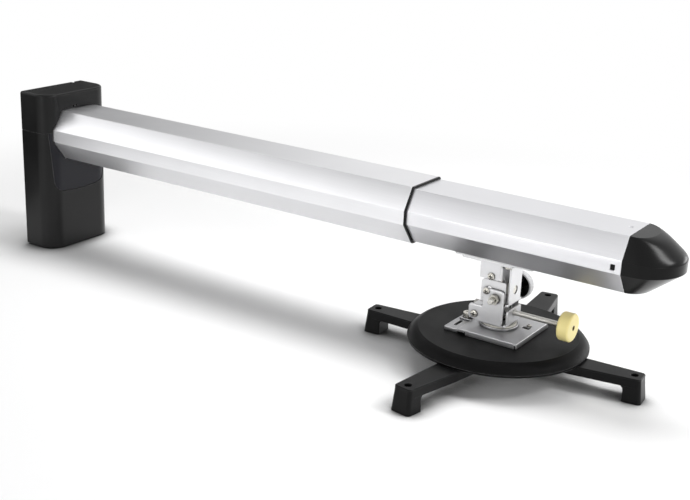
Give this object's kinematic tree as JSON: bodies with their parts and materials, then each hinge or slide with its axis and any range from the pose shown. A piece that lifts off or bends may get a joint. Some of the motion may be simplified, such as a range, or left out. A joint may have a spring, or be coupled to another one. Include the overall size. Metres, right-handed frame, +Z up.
{
  "type": "projector wall mount",
  "caption": "Short-throw projector wall mount: boxed wall housing, telescopic faceted arm, tilt and roll head with hand knobs, and a round adapter with sliding swing legs.",
  "frame": {"origin": "on the wall face of the wall plate, level with the centre line of the arm", "axes": "+X out from the wall along the arm, +Y across it, +Z up"},
  "size_m": [0.89, 0.3538, 0.2116],
  "materials": {
    "black_steel": "satin black powder coat",
    "zinc_steel": "bright zinc plate",
    "rod_steel": "zinc plated thread",
    "screws": "zinc plate with a warm tint",
    "dark_screws": "black oxide",
    "arm_aluminium": "satin anodised",
    "tube_aluminium": "satin anodised",
    "cover_plastic": "fine texture",
    "panel_plastic": "fine texture",
    "black_plastic": "satin",
    "gloss_black": "gloss",
    "disc_plastic": "satin",
    "leg_plastic": "satin",
    "ivory_plastic": "semi gloss",
    "nylon": "natural"
  },
  "bodies": {
    "wall_unit": {"wall_plate": "black_steel", "arm_socket": "black_steel", "socket_bolts": "screws", "tube_bolts": "dark_screws", "outer_tube": "arm_aluminium", "mouth_ring": "black_plastic", "arm_lock_screws": "dark_screws", "upper_cover": "cover_plastic", "lower_cover": "cover_plastic", "front_panel": "panel_plastic", "cover_screws": "dark_screws"},
    "sliding_arm": {"inner_tube": "tube_aluminium", "end_cap": "gloss_black", "rail_plate": "zinc_steel", "backing_plate": "zinc_steel", "rail_bolts": "screws", "upper_bracket": "zinc_steel", "bracket_spacer": "zinc_steel", "bracket_screws": "screws"},
    "roll_yoke": {"roll_stud": "screws", "roll_washer": "nylon", "roll_nut": "screws", "middle_yoke": "zinc_steel"},
    "tilt_cradle": {"lower_bracket": "zinc_steel", "tilt_washers": "nylon", "tilt_lock_nut": "screws", "stop_screws": "screws", "rod_block": "zinc_steel", "tab_screws": "screws"},
    "travelling_nut": {"tilt_nut": "zinc_steel"},
    "tilt_screw": {"tilt_rod": "rod_steel", "tilt_knob": "ivory_plastic"},
    "tilt_lock": {"tilt_lock_stud": "rod_steel", "tilt_lock_knob": "black_plastic"},
    "turntable": {"swivel_washer": "nylon", "turntable_disc": "zinc_steel", "swivel_bolt": "screws", "swivel_nut": "screws", "slide_plate": "zinc_steel", "keeper_screw": "screws"},
    "thumb_screw": {"plate_lock_screw": "screws"},
    "adapter": {"receiver_plate": "zinc_steel", "receiver_screws": "screws", "adapter_disc": "disc_plastic"},
    "leg_pivot_1": {"leg_bolt_1": "screws"},
    "leg_arm_1": {"leg_1": "leg_plastic"},
    "leg_pivot_2": {"leg_bolt_2": "screws"},
    "leg_arm_2": {"leg_2": "leg_plastic"},
    "leg_pivot_3": {"leg_bolt_3": "screws"},
    "leg_arm_3": {"leg_3": "leg_plastic"},
    "leg_pivot_4": {"leg_bolt_4": "screws"},
    "leg_arm_4": {"leg_4": "leg_plastic"}
  },
  "joints": [
    {"name": "arm_slide", "type": "slide", "parent": "wall_unit", "child": "sliding_arm", "axis": [1, 0, 0], "range_m": [-0.045, 0.1]},
    {"name": "head_roll", "type": "hinge", "parent": "sliding_arm", "child": "roll_yoke", "pos_m": [0.703, 0, -0.0655], "axis": [1, 0, 0], "range_deg": [-8, 8]},
    {"name": "head_tilt", "type": "hinge", "parent": "roll_yoke", "child": "tilt_cradle", "pos_m": [0.6974, 0, -0.0736], "axis": [0, 1, 0], "range_deg": [-12, 12]},
    {"name": "tilt_nut_travel", "type": "slide", "parent": "tilt_cradle", "child": "travelling_nut", "axis": [1, 0, 0], "range_m": [-0.0039, 0.0039]},
    {"name": "tilt_knob_turn", "type": "hinge", "parent": "tilt_cradle", "child": "tilt_screw", "pos_m": [0.6974, 0, -0.0915], "axis": [1, 0, 0], "range_deg": [-1360, 1360]},
    {"name": "tilt_lock_turn", "type": "hinge", "parent": "tilt_cradle", "child": "tilt_lock", "pos_m": [0.6974, 0, -0.0736], "axis": [0, 1, 0], "range_deg": [0, 540]},
    {"name": "head_swivel", "type": "hinge", "parent": "tilt_cradle", "child": "turntable", "pos_m": [0.695, 0, -0.1046], "axis": [0, 0, 1], "continuous": true},
    {"name": "plate_slide", "type": "slide", "parent": "turntable", "child": "adapter", "axis": [1, 0, 0], "range_m": [-0.06, 0]},
    {"name": "thumb_screw_turn", "type": "hinge", "parent": "turntable", "child": "thumb_screw", "pos_m": [0.658, -0.002, -0.11], "axis": [0, 0, 1], "range_deg": [0, 720]},
    {"name": "leg_swing_1", "type": "hinge", "parent": "adapter", "child": "leg_pivot_1", "pos_m": [0.635, 0, -0.1287], "axis": [0, 0, 1], "range_deg": [-47.9, 42.1]},
    {"name": "leg_reach_1", "type": "slide", "parent": "leg_pivot_1", "child": "leg_arm_1", "axis": [-0.9987, -0.0506, 0], "range_m": [-0.01, 0.0144]},
    {"name": "leg_swing_2", "type": "hinge", "parent": "adapter", "child": "leg_pivot_2", "pos_m": [0.695, -0.06, -0.1287], "axis": [0, 0, 1], "range_deg": [-35.5, 54.5]},
    {"name": "leg_reach_2", "type": "slide", "parent": "leg_pivot_2", "child": "leg_arm_2", "axis": [-0.165, -0.9863, 0], "range_m": [-0.01928, 0.00512]},
    {"name": "leg_swing_3", "type": "hinge", "parent": "adapter", "child": "leg_pivot_3", "pos_m": [0.755, 0, -0.1287], "axis": [0, 0, 1], "range_deg": [-50.8, 39.2]},
    {"name": "leg_reach_3", "type": "slide", "parent": "leg_pivot_3", "child": "leg_arm_3", "axis": [0.9949, 0.1011, 0], "range_m": [-0.0122, 0.0122]},
    {"name": "leg_swing_4", "type": "hinge", "parent": "adapter", "child": "leg_pivot_4", "pos_m": [0.695, 0.06, -0.1287], "axis": [0, 0, 1], "range_deg": [-54.1, 35.9]},
    {"name": "leg_reach_4", "type": "slide", "parent": "leg_pivot_4", "child": "leg_arm_4", "axis": [-0.1582, 0.9874, 0], "range_m": [-0.02403, 0.00037]}
  ],
  "couplings": [
    {"joint": "tilt_nut_travel", "follows": "head_tilt", "m_per_rad": 0.0179},
    {"joint": "tilt_knob_turn", "follows": "head_tilt", "ratio": -112.47}
  ]
}
